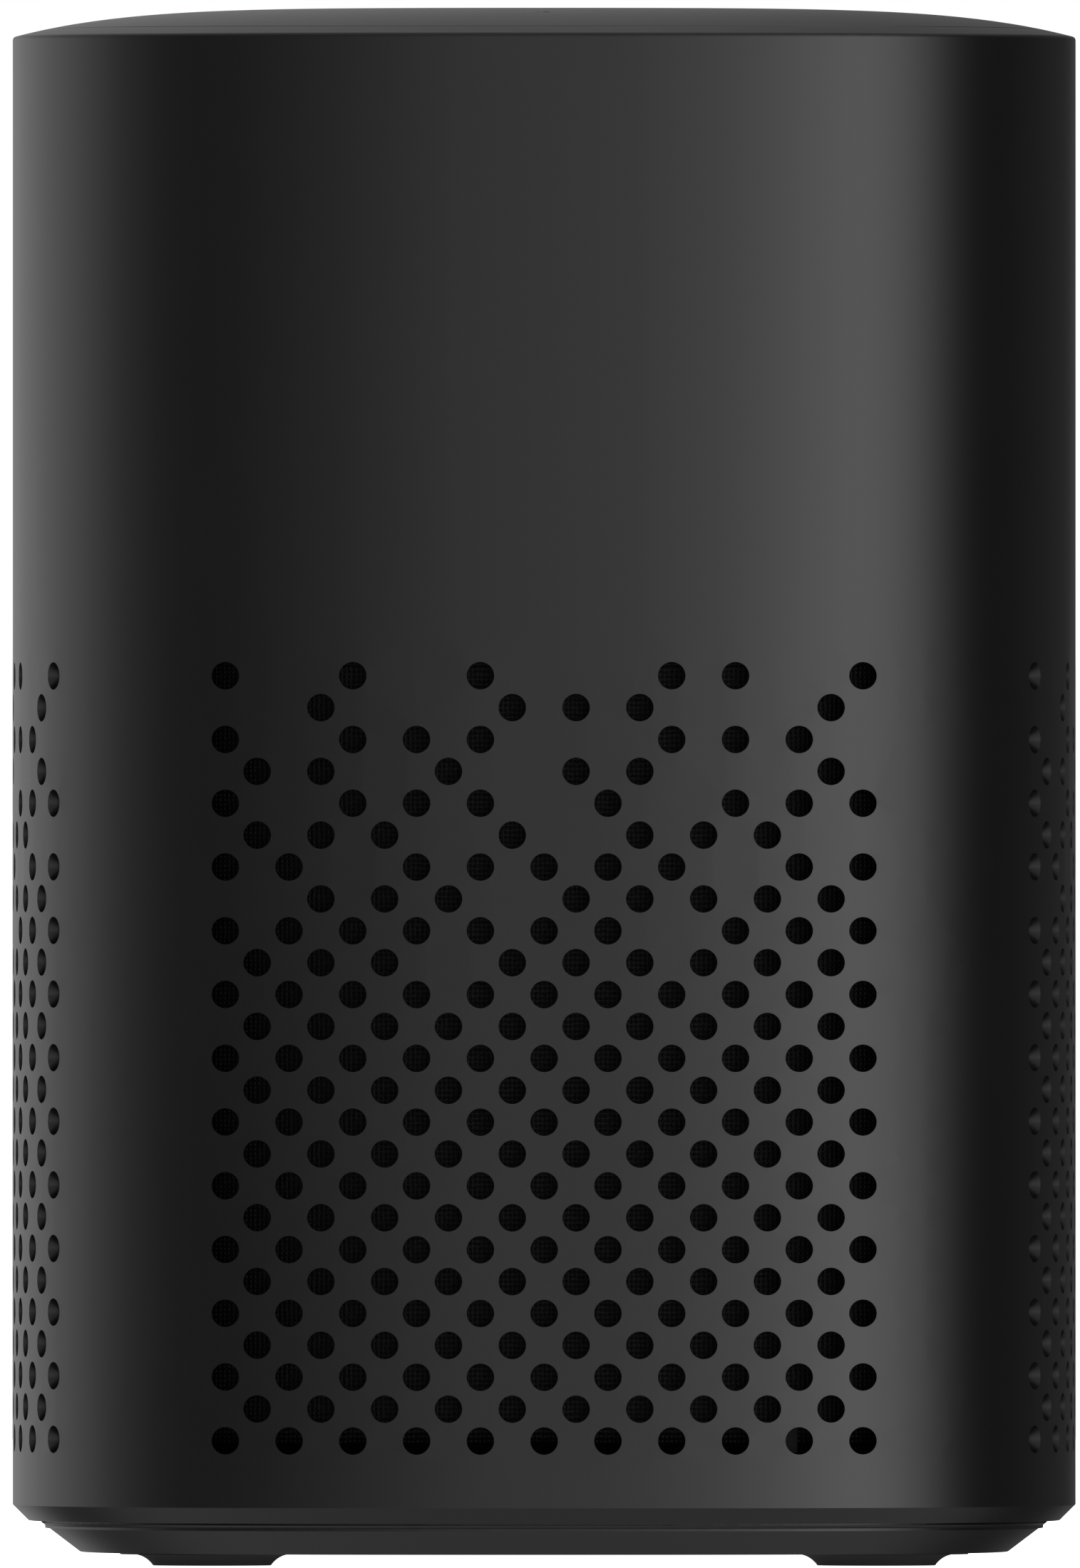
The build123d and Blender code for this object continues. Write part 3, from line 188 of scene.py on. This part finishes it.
def brushed_group():
    """Drawn or rolled metal: long fine streaks along one object axis."""
    tree, given, out = group(
        "rolled_streaks",
        {
            "Color": (COLOR, (0.5, 0.5, 0.5, 1)),
            "Roughness": (FLOAT, 0.3),
            "Streaks per mm": (FLOAT, 4.0),
        },
        {"Color": COLOR, "Roughness": FLOAT, "Height": FLOAT},
    )
    place = object_place(tree, scale=(1, 0.04, 1))
    per_metre = maths(tree, "MULTIPLY", given.outputs["Streaks per mm"], PER_METRE)
    streak = noise(tree, place, per_metre)
    blotch = noise(tree, object_place(tree), 180.0)
    lift = maths(tree, "ADD", maths(tree, "MULTIPLY", maths(tree, "ADD", streak, blotch), 0.3), 0.7)
    scaled = add(tree, "ShaderNodeVectorMath", operation="SCALE")
    tree.links.new(given.outputs["Color"], scaled.inputs[0])
    tree.links.new(lift, scaled.inputs["Scale"])
    spread = maths(tree, "MULTIPLY", maths(tree, "SUBTRACT", streak, 0.5), 0.25)
    tree.links.new(scaled.outputs[0], out.inputs["Color"])
    tree.links.new(maths(tree, "ADD", given.outputs["Roughness"], spread), out.inputs["Roughness"])
    tree.links.new(streak, out.inputs["Height"])
    return tree


def knit_group():
    """Two crossing rows of yarn with a little fuzz, on any flat coordinates in metres. Its Shade output is
    painted shade, low in the hollows between the loops.
    """
    tree, given, out = group(
        "knit",
        {
            "Vector": (VECTOR, (0, 0, 0)),
            "Yarn pitch mm": (FLOAT, 0.35),
            "Fuzz": (FLOAT, 0.3),
        },
        {"Height": FLOAT, "Shade": FLOAT},
    )
    where = given.outputs["Vector"]
    scale = maths(tree, "DIVIDE", PER_METRE * WAVE_LENGTH, given.outputs["Yarn pitch mm"])
    across = waves(tree, where, scale, "X", distortion=1.2)
    along = waves(tree, where, scale, "Y", distortion=1.2)
    fuzz = noise(tree, where, maths(tree, "MULTIPLY", scale, 14.0))
    loops = maths(tree, "MULTIPLY", across, along)
    hair = maths(tree, "MULTIPLY", fuzz, given.outputs["Fuzz"])
    tree.links.new(maths(tree, "ADD", loops, hair), out.inputs["Height"])
    # painted shade: Shade follows the height of the loops, lowest in the hollows between them
    tree.links.new(maths(tree, "ADD", maths(tree, "MULTIPLY", loops, 0.6), hair), out.inputs["Shade"])
    return tree


GRAIN = grain_group()
STREAKS = brushed_group()
KNIT = knit_group()


# ------------------------------------------------------------------ materials


def shader(name, **values):
    """A new material and its Principled shader. values are the sockets that are even all over."""
    material = bpy.data.materials.new(name)
    material.use_nodes = True
    tree = material.node_tree
    principled = tree.nodes["Principled BSDF"]
    put(principled, **values)
    return material, tree, principled


def bumped(tree, principled, height, strength, distance):
    """Gives a shader a bump as deep as distance."""
    bump = add(tree, "ShaderNodeBump")
    bump.inputs["Strength"].default_value = strength
    bump.inputs["Distance"].default_value = distance
    tree.links.new(height, bump.inputs["Height"])
    tree.links.new(bump.outputs[0], principled.inputs["Normal"])


def placed_group(tree, made, **values):
    placed = add(tree, "ShaderNodeGroup", node_tree=made)
    put(placed, **values)
    return placed


def grained(name, color, roughness, grains=5.0, depth=0.35, tone=0.15, patch=0.05, **values):
    """Moulded plastic or rubber."""
    material, tree, principled = shader(name, **values)
    grain = placed_group(tree, GRAIN, Color=(*color, 1), Roughness=roughness, Patchiness=patch)
    put(grain, Grains_per_mm=grains, Tone=tone)
    tree.links.new(grain.outputs["Color"], principled.inputs["Base Color"])
    tree.links.new(grain.outputs["Roughness"], principled.inputs["Roughness"])
    bumped(tree, principled, grain.outputs["Height"], depth, 0.03 * MM)
    return material


def streaked(name, color, roughness, streaks=4.0, depth=0.2, **values):
    """Rolled, drawn or plated metal."""
    material, tree, principled = shader(name, Metallic=1.0, **values)
    metal = placed_group(tree, STREAKS, Color=(*color, 1), Roughness=roughness, Streaks_per_mm=streaks)
    tree.links.new(metal.outputs["Color"], principled.inputs["Base Color"])
    tree.links.new(metal.outputs["Roughness"], principled.inputs["Roughness"])
    bumped(tree, principled, metal.outputs["Height"], depth, 0.01 * MM)
    return material


def acoustic_cloth():
    """Black knitted cloth, laid out on the sheet's own UV map in metres."""
    material, tree, principled = shader("acoustic_cloth", Roughness=0.55, Specular_IOR_Level=0.5)
    where = add(tree, "ShaderNodeTexCoord")
    knit = placed_group(tree, KNIT, Yarn_pitch_mm=0.42, Fuzz=0.35)
    tree.links.new(where.outputs["UV"], knit.inputs["Vector"])
    # painted shade: the darker colour falls in the hollows of the knit, the lighter on the raised yarn
    color = blended(tree, knit.outputs["Shade"], (0.0024, 0.0024, 0.0025), (0.029, 0.029, 0.03))
    tree.links.new(color, principled.inputs["Base Color"])
    bumped(tree, principled, knit.outputs["Height"], 0.8, 0.12 * MM)
    return material


def cage_black():
    """Matt black cage whose tabs, proud of the rest, are coloured lighter: painted light for the light
    that catches them inside the holes.
    """
    material, tree, principled = shader("cage_black", Roughness=0.9, Specular_IOR_Level=0.2)
    apart = add(tree, "ShaderNodeSeparateXYZ")
    tree.links.new(object_place(tree), apart.inputs[0])
    across = maths(tree, "POWER", maths(tree, "ABSOLUTE", apart.outputs["X"]), CORNER_POWER)
    along = maths(tree, "POWER", maths(tree, "ABSOLUTE", apart.outputs["Y"]), CORNER_POWER)
    reach = maths(tree, "POWER", maths(tree, "ADD", across, along), 1 / CORNER_POWER)
    proud = maths(tree, "GREATER_THAN", reach, TAB_FACE)
    above = maths(tree, "GREATER_THAN", apart.outputs["Z"], TAB_FOOT)
    painted_light_tab = maths(tree, "MULTIPLY", proud, above)
    # painted light: the tabs get a lighter colour than the rest of the cage
    color = blended(tree, painted_light_tab, (0.0015, 0.0015, 0.0016), (0.07, 0.07, 0.072))
    grain = noise(tree, object_place(tree), 4000.0)
    dusted = blended(tree, maths(tree, "MULTIPLY", grain, 0.4), color, (0, 0, 0))
    tree.links.new(dusted, principled.inputs["Base Color"])
    bumped(tree, principled, grain, 0.3, 0.03 * MM)
    return material


def solder_mask(name, mask, track):
    """A circuit board: mask over copper tracks, with small tinned pads."""
    material, tree, principled = shader(name, Coat_Weight=0.3)
    place = object_place(tree, turn=(0, 0, math.radians(45)))
    tracks = add(tree, "ShaderNodeTexBrick")
    tree.links.new(place, tracks.inputs["Vector"])
    put(tracks, Scale=260.0, Mortar_Size=0.06, Brick_Width=1.6, Row_Height=0.35)
    pads = add(tree, "ShaderNodeTexVoronoi")
    tree.links.new(object_place(tree), pads.inputs["Vector"])
    pads.inputs["Scale"].default_value = 380.0
    pad = maths(tree, "LESS_THAN", pads.outputs["Distance"], 0.16)
    color = blended(tree, tracks.outputs["Fac"], mask, track)
    color = blended(tree, pad, color, (0.62, 0.6, 0.55))
    tree.links.new(color, principled.inputs["Base Color"])
    polish = maths(tree, "SUBTRACT", 0.45, maths(tree, "MULTIPLY", pad, 0.15))
    tree.links.new(polish, principled.inputs["Roughness"])
    bumped(tree, principled, tracks.outputs["Fac"], 0.4, 0.03 * MM)
    return material


def speckled(name, color, fleck, share, size_per_m, roughness, **values):
    """Sintered or fibrous stuff with scattered flecks."""
    material, tree, principled = shader(name, Roughness=roughness, **values)
    flecks = noise(tree, object_place(tree), size_per_m, 5.0, 0.7)
    mask = maths(tree, "GREATER_THAN", flecks, 1.0 - share)
    tree.links.new(blended(tree, mask, color, fleck), principled.inputs["Base Color"])
    bumped(tree, principled, flecks, 0.5, 0.05 * MM)
    return material


def banded(name, first, second, scale, direction, roughness, **values):
    """Even bands across an object axis: wound wire, ribbed cable."""
    material, tree, principled = shader(name, Roughness=roughness, **values)
    bands = waves(tree, object_place(tree), scale, direction)
    tree.links.new(blended(tree, bands, first, second), principled.inputs["Base Color"])
    bumped(tree, principled, bands, 0.7, 0.06 * MM)
    return material


def woven_disc():
    """Resin-dipped cloth of the speaker's spider."""
    material, tree, principled = shader("dipped_cloth", Roughness=0.75, Specular_IOR_Level=0.3)
    knit = placed_group(tree, KNIT, Yarn_pitch_mm=0.5, Fuzz=0.3)
    tree.links.new(object_place(tree), knit.inputs["Vector"])
    # painted shade: the cloth is darker in the hollows of the knit and lighter on the raised yarn
    color = blended(tree, knit.outputs["Shade"], (0.22, 0.13, 0.03), (0.55, 0.38, 0.13))
    tree.links.new(color, principled.inputs["Base Color"])
    bumped(tree, principled, knit.outputs["Height"], 0.7, 0.1 * MM)
    return material


def clear_guide():
    """Clear plastic with a slight haze."""
    material, tree, principled = shader("clear_light_guide", Transmission_Weight=1.0, IOR=1.49)
    haze = noise(tree, object_place(tree), 2500.0)
    tint = blended(tree, haze, (0.9, 0.95, 0.97), (0.97, 0.99, 1.0))
    tree.links.new(tint, principled.inputs["Base Color"])
    tree.links.new(maths(tree, "MULTIPLY", haze, 0.12), principled.inputs["Roughness"])
    return material


BLACK = (0.0055, 0.0055, 0.0061)
RUBBER = (0.009, 0.009, 0.009)
COPPER = ((0.45, 0.16, 0.06), (0.8, 0.38, 0.18))
FERRITE = ((0.03, 0.03, 0.033), (0.12, 0.12, 0.12))
LAMINATE = ((0.16, 0.08, 0.02), (0.25, 0.14, 0.05))


def finishes():
    """The material of each slot in the record."""
    body = grained("body_black", BLACK, 0.27, grains=4.5, depth=0.1, tone=0.3, patch=0.03)
    return {
        "shell_plastic": body,
        "cover_plastic": body,
        "key_plastic": body,
        "base_plastic": grained("base_black", BLACK, 0.32, grains=5, depth=0.1),
        "frame_plastic": cage_black(),
        "cone_plastic": grained("deflector_dark", (0.014, 0.014, 0.015), 0.32, grains=3, depth=0.1),
        "chamber_plastic": grained("chamber_dark", (0.02, 0.02, 0.022), 0.55, 2, depth=0.5, tone=0.5),
        "switch_plastic": grained("switch_black", (0.015, 0.015, 0.015), 0.3, grains=6, depth=0.1),
        "plunger_plastic": grained("ivory", (0.62, 0.57, 0.46), 0.4, grains=4, depth=0.1),
        "connector_plastic": grained("housing_cream", (0.7, 0.66, 0.55), 0.45, grains=4, depth=0.2),
        "board": solder_mask("board_green", (0.004, 0.05, 0.03), (0.01, 0.1, 0.06)),
        "radio_board": solder_mask("board_blue", (0.004, 0.02, 0.08), (0.01, 0.05, 0.15)),
        "antenna_board": solder_mask("board_bare", (0.02, 0.07, 0.04), (0.5, 0.3, 0.12)),
        "can_metal": streaked("tinned_can", (0.62, 0.62, 0.6), 0.32),
        "sink_metal": streaked("sink_aluminium", (0.35, 0.35, 0.37), 0.4, streaks=2, depth=0.4),
        "pad_rubber": speckled("thermal_grey", (0.2, 0.25, 0.3), (0.4, 0.45, 0.5), 0.4, 3000, 0.8),
        "gasket_foam": speckled("foam_black", (0.006, 0.006, 0.006), (0.03, 0.03, 0.03), 0.35, 4200, 0.95),
        "capacitor_metal": streaked("can_aluminium", (0.6, 0.6, 0.62), 0.28),
        "mic_metal": streaked("gilt_can", (0.75, 0.55, 0.25), 0.25),
        "lamp_plastic": grained("lamp_white", (0.8, 0.8, 0.74), 0.35, grains=6, depth=0.1),
        "pipe_plastic": clear_guide(),
        "ir_plastic": grained("lamp_violet_black", (0.012, 0.006, 0.02), 0.12, grains=2, depth=0.05),
        "cable_plastic": banded("flat_cable", (0.7, 0.7, 0.68), (0.4, 0.42, 0.45), 314.0, "Y", 0.4),
        "lead_plastic": grained("lead_black", (0.01, 0.01, 0.01), 0.45, grains=3, depth=0.2),
        "screw_steel": streaked("black_zinc", (0.09, 0.09, 0.1), 0.34),
        "basket_steel": grained("basket_black", (0.012, 0.012, 0.012), 0.3, grains=1.5, depth=0.3),
        "plate_steel": streaked("zinc_plate", (0.55, 0.56, 0.58), 0.3),
        "magnet": speckled("ferrite", *FERRITE, 0.32, 5000, 0.6, Metallic=0.2),
        "paper_cone": speckled("coated_paper", (0.01, 0.01, 0.01), (0.04, 0.04, 0.038), 0.4, 1800, 0.7),
        "former_metal": streaked("coil_tube", (0.5, 0.42, 0.28), 0.35),
        "winding_copper": banded("copper_winding", *COPPER, 2100.0, "Z", 0.3, Metallic=0.9),
        "surround_rubber": grained("surround_black", (0.008, 0.008, 0.008), 0.5, grains=2, depth=0.1),
        "spider_cloth": woven_disc(),
        "terminal_board": speckled("paper_laminate", *LAMINATE, 0.4, 2500, 0.5),
        "foot_rubber": grained("foot_black", RUBBER, 0.65, 3, 0.25, patch=0.1, Specular_IOR_Level=0.3),
        "jack_plastic": grained("jack_black", (0.012, 0.012, 0.012), 0.3, grains=5, depth=0.1),
        "pin_metal": streaked("nickel_pin", (0.75, 0.73, 0.68), 0.18),
        "cloth": acoustic_cloth(),
    }


FINISH = finishes()


def dress(piece, slot):
    """Gives a piece one finish all over."""
    piece.data.materials.clear()
    piece.data.materials.append(FINISH[slot])


for entry in frame["record"]["subparts"]:
    dress(nodes_of_part[entry["node"]], entry["material_slot"])


# ------------------------------------------------------------------ new pieces


def on_outline(half, angle):
    """The point of a rounded-square outline at an angle about the middle."""
    c, s = math.cos(angle), math.sin(angle)
    x = half * math.copysign(abs(c) ** (2 / CORNER_POWER), c)
    y = half * math.copysign(abs(s) ** (2 / CORNER_POWER), s)
    return Vector((x, y, 0))


def finished(bm, name, slot, body):
    """Turns a bmesh into a piece that rides on a body."""
    mesh = bpy.data.meshes.new(name)
    bm.to_mesh(mesh)
    bm.free()
    piece = bpy.data.objects.new(name, mesh)
    bpy.context.scene.collection.objects.link(piece)
    dress(piece, slot)
    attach(piece, body)
    return piece


def knitted_sleeve():
    """The cloth behind the holes: one stretched sheet with a slightly uneven lower edge."""
    half = CLOTH_HIGH.x - CLOTH_INSET
    around = 288
    rows = 30
    height = CLOTH_HIGH.z - CLOTH_LOW.z
    bm = bmesh.new()
    bmesh.ops.create_circle(bm, segments=around, radius=half)
    bm.verts.ensure_lookup_table()
    for vert in bm.verts:
        angle = math.atan2(vert.co.y, vert.co.x)
        vert.co = on_outline(half, angle)
    rim = list(bm.edges)
    for _ in range(rows):
        raised = bmesh.ops.extrude_edge_only(bm, edges=rim)["geom"]
        fresh = [part for part in raised if isinstance(part, bmesh.types.BMVert)]
        rim = [part for part in raised if isinstance(part, bmesh.types.BMEdge)]
        bmesh.ops.translate(bm, verts=fresh, vec=(0, 0, height / rows))
    bmesh.ops.translate(bm, verts=bm.verts, vec=(0, 0, CLOTH_LOW.z))
    for vert in bm.verts:
        angle = math.atan2(vert.co.y, vert.co.x)
        share = 1 - (vert.co.z - CLOTH_LOW.z) / height
        wander = 0.16 * math.sin(7 * angle + 0.6) + 0.1 * math.sin(19 * angle)
        vert.co.z += max(wander, 0) * MM * share**6
    bmesh.ops.recalc_face_normals(bm, faces=bm.faces)
    lay = bm.loops.layers.uv.new("UVMap")
    per_radian = half * ROUND_SHARE / (2 * math.pi)
    for face in bm.faces:
        angles = [math.atan2(loop.vert.co.y, loop.vert.co.x) for loop in face.loops]
        over_the_back = max(angles) - min(angles) > math.pi
        for loop, angle in zip(face.loops, angles):
            full = angle + 2 * math.pi if over_the_back and angle < 0 else angle
            loop[lay].uv = (full * per_radian, loop.vert.co.z)
        face.smooth = True
    piece = finished(bm, "acoustic_cloth", "cloth", "hub")
    wall = piece.modifiers.new("thickness", "SOLIDIFY")
    wall.thickness = CLOTH_THICK
    wall.offset = 0
    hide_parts("grille_cloth")


knitted_sleeve()


# ------------------------------------------------------------------ studio

FLOOR_RADIUS = 1.4
FLOOR_DROP = 0.05 * MM  # keeps the floor clear of the feet's undersides


def floor():
    """A pale table top with an even glow. Seen almost edge on it glows more, a painted reflection of the
    white of the room behind it.
    """
    bm = bmesh.new()
    bmesh.ops.create_circle(bm, cap_ends=True, segments=96, radius=FLOOR_RADIUS)
    bmesh.ops.translate(bm, verts=bm.verts, vec=(0, 0, -FLOOR_DROP))
    mesh = bpy.data.meshes.new("floor")
    bm.to_mesh(mesh)
    bm.free()
    piece = bpy.data.objects.new("floor", mesh)
    bpy.context.scene.collection.objects.link(piece)
    material, tree, principled = shader("pale_floor", Roughness=0.9, Specular_IOR_Level=0.1)
    paper = noise(tree, object_place(tree), 40.0)
    tone = blended(tree, paper, (0.84, 0.84, 0.84), (0.87, 0.87, 0.87))
    tree.links.new(tone, principled.inputs["Base Color"])
    grazing = add(tree, "ShaderNodeLayerWeight")
    # painted reflection: the glow grows towards grazing views, on top of the floor's even glow
    painted_grazing_reflection = maths(tree, "MULTIPLY", maths(tree, "POWER", grazing.outputs["Facing"], 12.0), 0.7)
    principled.inputs["Emission Color"].default_value = (1, 1, 1, 1)
    tree.links.new(maths(tree, "ADD", painted_grazing_reflection, 0.48), principled.inputs["Emission Strength"])
    mesh.materials.append(material)
    piece.visible_glossy = False


# brightness of the studio round the hub: degrees from the front towards the right, and level
STUDIO = (
    (-180, 0.44),
    (-160, 0.44),
    (-141, 0.57),
    (-120, 0.68),
    (-108, 0.64),
    (-96, 0.46),
    (-81, 0.28),
    (-69, 0.15),
    (-54, 0.12),
    (-39, 0.16),
    (-22, 0.29),
    (-10, 0.42),
    (-1, 0.70),
    (6, 1.06),
    (18, 1.45),
    (30, 2.02),
    (43, 2.50),
    (52, 2.35),
    (60, 1.88),
    (70, 1.15),
    (78, 0.50),
    (86, 0.14),
    (96, 0.01),
    (130, 0.05),
    (165, 0.05),
    (180, 0.20),
)
BRIGHTEST = 3.0  # level that the colour ramp's white stands for
ROOM_GAIN = 1.06
OVERHEAD = 0.42
BELOW = 0.38
UPPER_FADE = 0.56  # what is left of the level a little above the horizon
UPPER_GLOW = 0.05
LOWER_FADE = 0.1  # and below it, where the table takes over
TABLE_BEHIND = 0.02
TABLE_IN_FRONT = 0.55


def faded(tree, height, level, start, end, share, extra=0.0):
    """Light that falls to a share of itself, plus an extra, between two heights of the sky."""
    past = add(tree, "ShaderNodeMapRange", interpolation_type="SMOOTHSTEP")
    put(past, From_Min=start, From_Max=end)
    tree.links.new(height, past.inputs[0])
    dimmed = blended(tree, 1 - share, level, (0, 0, 0))
    lit = add(tree, "ShaderNodeMix", data_type="RGBA", blend_type="ADD")
    lit.inputs[0].default_value = 1.0
    if isinstance(extra, bpy.types.NodeSocket):
        tree.links.new(extra, lit.inputs[7])
    else:
        lit.inputs[7].default_value = (extra, extra, extra, 1)
    tree.links.new(dimmed, lit.inputs[6])
    return blended(tree, past.outputs[0], level, lit.outputs[2])


def studio_world():
    """A wide soft light right of the front, a dim one behind on the left, and a pale backdrop."""
    world = bpy.data.worlds.new("studio")
    bpy.context.scene.world = world
    world.use_nodes = True
    tree = world.node_tree
    tree.nodes.clear()
    where = add(tree, "ShaderNodeTexCoord")
    split = add(tree, "ShaderNodeSeparateXYZ")
    tree.links.new(where.outputs["Generated"], split.inputs[0])
    turn = maths(tree, "ARCTAN2", split.outputs["X"], maths(tree, "MULTIPLY", split.outputs["Y"], -1))
    share = maths(tree, "ADD", maths(tree, "DIVIDE", turn, 2 * math.pi), 0.5)
    ramp = add(tree, "ShaderNodeValToRGB")
    stops = ramp.color_ramp.elements
    while len(stops) > 1:
        stops.remove(stops[-1])
    for degrees, level in STUDIO:
        stop = stops.new(degrees / 360 + 0.5) if degrees > -180 else stops[0]
        stop.color = (level / BRIGHTEST,) * 3 + (1,)
    tree.links.new(share, ramp.inputs[0])
    height = split.outputs["Z"]
    level = faded(tree, height, ramp.outputs[0], 0.0, 0.3, UPPER_FADE, UPPER_GLOW / BRIGHTEST)
    table = add(tree, "ShaderNodeMapRange", interpolation_type="SMOOTHSTEP")
    put(table, From_Min=0.5, From_Max=-0.1)
    put(table, To_Min=TABLE_BEHIND / BRIGHTEST, To_Max=TABLE_IN_FRONT / BRIGHTEST)
    tree.links.new(split.outputs["Y"], table.inputs[0])
    level = faded(tree, height, level, -0.1, -0.45, LOWER_FADE, table.outputs[0])
    level = faded(tree, height, level, 0.3, 1.0, 0.0, OVERHEAD / BRIGHTEST)
    level = faded(tree, height, level, -0.52, -0.9, 0.0, BELOW / BRIGHTEST)
    room = add(tree, "ShaderNodeBackground")
    tree.links.new(level, room.inputs["Color"])
    room.inputs["Strength"].default_value = BRIGHTEST * ROOM_GAIN
    backdrop = add(tree, "ShaderNodeBackground")
    put(backdrop, Color=(1, 1, 1, 1), Strength=1.0)
    seen = add(tree, "ShaderNodeLightPath")
    choice = add(tree, "ShaderNodeMixShader")
    out = add(tree, "ShaderNodeOutputWorld")
    tree.links.new(seen.outputs["Is Camera Ray"], choice.inputs[0])
    tree.links.new(room.outputs[0], choice.inputs[1])
    tree.links.new(backdrop.outputs[0], choice.inputs[2])
    tree.links.new(choice.outputs[0], out.inputs[0])


FRAME_HEIGHT = 140.2 * MM  # what the picture takes in at the middle of the hub
FRAME_MIDDLE = (-0.37 * MM, 69.65 * MM)  # its x and z


def camera():
    """Level with the middle of the hub, straight in front, through a very long lens."""
    data = bpy.data.cameras.new("camera")
    data.sensor_fit = "VERTICAL"
    data.sensor_width = 36
    data.sensor_height = 22.5
    data.lens = 1180
    data.clip_end = 20
    made = bpy.data.objects.new("camera", data)
    bpy.context.scene.collection.objects.link(made)
    distance = FRAME_HEIGHT * data.lens / data.sensor_height
    made.location = (FRAME_MIDDLE[0], -distance, FRAME_MIDDLE[1])
    made.rotation_euler = (math.radians(90), 0, 0)
    bpy.context.scene.camera = made


floor()
studio_world()
camera()
bpy.context.scene.view_settings.view_transform = "Standard"
